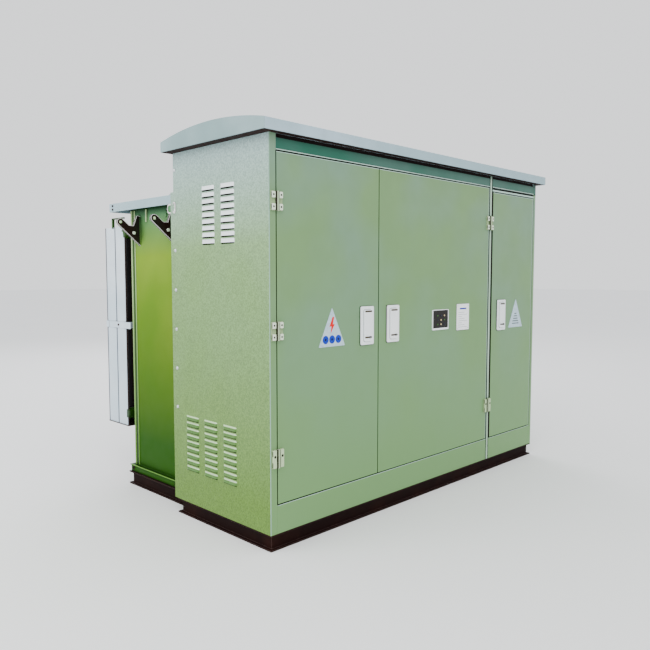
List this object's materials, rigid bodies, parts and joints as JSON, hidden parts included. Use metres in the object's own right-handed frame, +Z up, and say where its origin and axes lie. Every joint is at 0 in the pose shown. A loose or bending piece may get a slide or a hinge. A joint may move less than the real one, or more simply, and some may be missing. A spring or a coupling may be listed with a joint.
{
  "type": "pad-mounted transformer",
  "caption": "Cabinet with hinged doors, swing handles and a barrel roof on a channel base, bolted to an oil tank with a skirted lid, lifting lugs and panel radiators.",
  "frame": {"origin": "on the ground, under the middle of the whole box", "axes": "+X to the right along the cabinet's front as seen by someone facing the doors, +Y from the doors back to the radiators, +Z up"},
  "size_m": [2.624, 1.785, 2.052],
  "materials": {
    "cabinet_paint": "satin sage green powder coat with a fine orange-peel texture",
    "tank_paint": "semi-gloss yellow-green enamel",
    "roof_paint": "light blue-grey enamel",
    "radiator_paint": "near-white blue-grey enamel",
    "base_paint": "near-black anti-rust paint",
    "lock_white": "gloss white powder coat on cast zinc",
    "plated_steel": "satin zinc-plated steel",
    "gasket_rubber": "matte nitrile rubber",
    "copper": "bare copper terminals and windings",
    "core_steel": "varnished laminated steel",
    "epoxy": "gloss red-brown cast epoxy",
    "dark_plastic": "gloss black plastic",
    "red_paint": "gloss signal red"
  },
  "bodies": {
    "frame": {"base_frame": "base_paint", "tank_skid": "base_paint", "left_side_panel": "cabinet_paint", "right_side_panel": "cabinet_paint", "main_header": "cabinet_paint", "right_header": "cabinet_paint", "main_sill": "cabinet_paint", "right_sill": "cabinet_paint", "divider_post": "cabinet_paint", "high_voltage_barrier": "cabinet_paint", "rear_upper_panel": "cabinet_paint", "control_box": "cabinet_paint", "roof_cap": "roof_paint", "tank_cover": "roof_paint", "tank_front_plate": "tank_paint", "tank_shell": "tank_paint", "cover_gasket": "gasket_rubber", "core": "core_steel", "coil_a": "copper", "coil_b": "copper", "coil_c": "copper", "radiator_left": "radiator_paint", "radiator_middle": "radiator_paint", "radiator_right": "radiator_paint", "left_hinge_top_frame_leaf": "plated_steel", "left_hinge_middle_frame_leaf": "plated_steel", "left_hinge_bottom_frame_leaf": "plated_steel", "middle_hinge_top_frame_leaf": "plated_steel", "middle_hinge_bottom_frame_leaf": "plated_steel", "oil_level_gauge": "plated_steel", "oil_thermometer": "plated_steel", "high_voltage_bushing_a": "epoxy", "high_voltage_bushing_b": "epoxy", "high_voltage_bushing_c": "epoxy", "low_voltage_bushing_a": "copper", "low_voltage_bushing_b": "copper", "low_voltage_bushing_c": "copper", "low_voltage_bushing_n": "copper"},
    "left_door": {"left_door": "cabinet_paint", "left_hinge_top_door_leaf": "plated_steel", "left_hinge_middle_door_leaf": "plated_steel", "left_hinge_bottom_door_leaf": "plated_steel", "left_lock_plate": "lock_white", "left_warning_plate": "plated_steel"},
    "middle_door": {"middle_door": "cabinet_paint", "middle_hinge_top_door_leaf": "plated_steel", "middle_hinge_bottom_door_leaf": "plated_steel", "middle_lock_plate": "lock_white", "meter_window": "dark_plastic", "rating_plate": "lock_white"},
    "right_door": {"right_door": "cabinet_paint", "right_lock_plate": "lock_white", "right_warning_plate": "plated_steel"},
    "left_handle": {"left_swing_handle": "lock_white"},
    "middle_handle": {"middle_swing_handle": "lock_white"},
    "right_handle": {"right_swing_handle": "lock_white"},
    "switch_handle": {"load_break_switch_handle": "red_paint"},
    "tap_changer": {"tap_changer_knob": "dark_plastic"},
    "drain_lever": {"drain_valve_lever": "red_paint"},
    "relief_plunger": {"pressure_relief_plunger": "plated_steel"}
  },
  "joints": [
    {"name": "left_door_hinge", "type": "hinge", "parent": "frame", "child": "left_door", "pos_m": [-1.207, -0.859, 1.048], "axis": [0, 0, -1], "range_deg": [0, 120]},
    {"name": "middle_door_hinge", "type": "hinge", "parent": "frame", "child": "middle_door", "pos_m": [0.636, -0.859, 1.048], "axis": [0, 0, 1], "range_deg": [0, 95]},
    {"name": "right_door_hinge", "type": "hinge", "parent": "frame", "child": "right_door", "pos_m": [1.206, -0.8415, 1.04], "axis": [0, 0, 1], "range_deg": [0, 110]},
    {"name": "left_handle_turn", "type": "hinge", "parent": "left_door", "child": "left_handle", "pos_m": [-0.577, -0.8605, 1.104], "axis": [0, 1, 0], "range_deg": [0, 90]},
    {"name": "middle_handle_turn", "type": "hinge", "parent": "middle_door", "child": "middle_handle", "pos_m": [-0.36, -0.8605, 1.104], "axis": [0, -1, 0], "range_deg": [0, 90]},
    {"name": "right_handle_turn", "type": "hinge", "parent": "right_door", "child": "right_handle", "pos_m": [0.796, -0.8605, 1.104], "axis": [0, -1, 0], "range_deg": [0, 90]},
    {"name": "switch_handle_turn", "type": "hinge", "parent": "frame", "child": "switch_handle", "pos_m": [-1.06, -0.0905, 1.46], "axis": [0, 1, 0], "range_deg": [0, 90]},
    {"name": "tap_changer_turn", "type": "hinge", "parent": "frame", "child": "tap_changer", "pos_m": [-0.72, -0.0905, 1.46], "axis": [0, 1, 0], "range_deg": [0, 144]},
    {"name": "drain_lever_turn", "type": "hinge", "parent": "frame", "child": "drain_lever", "pos_m": [0.47, -0.1105, 0.3], "axis": [0, 1, 0], "range_deg": [0, 90]},
    {"name": "relief_plunger_slide", "type": "slide", "parent": "frame", "child": "relief_plunger", "axis": [0, -1, 0], "range_m": [0, 0.012], "stiffness_N_per_m": 800}
  ]
}
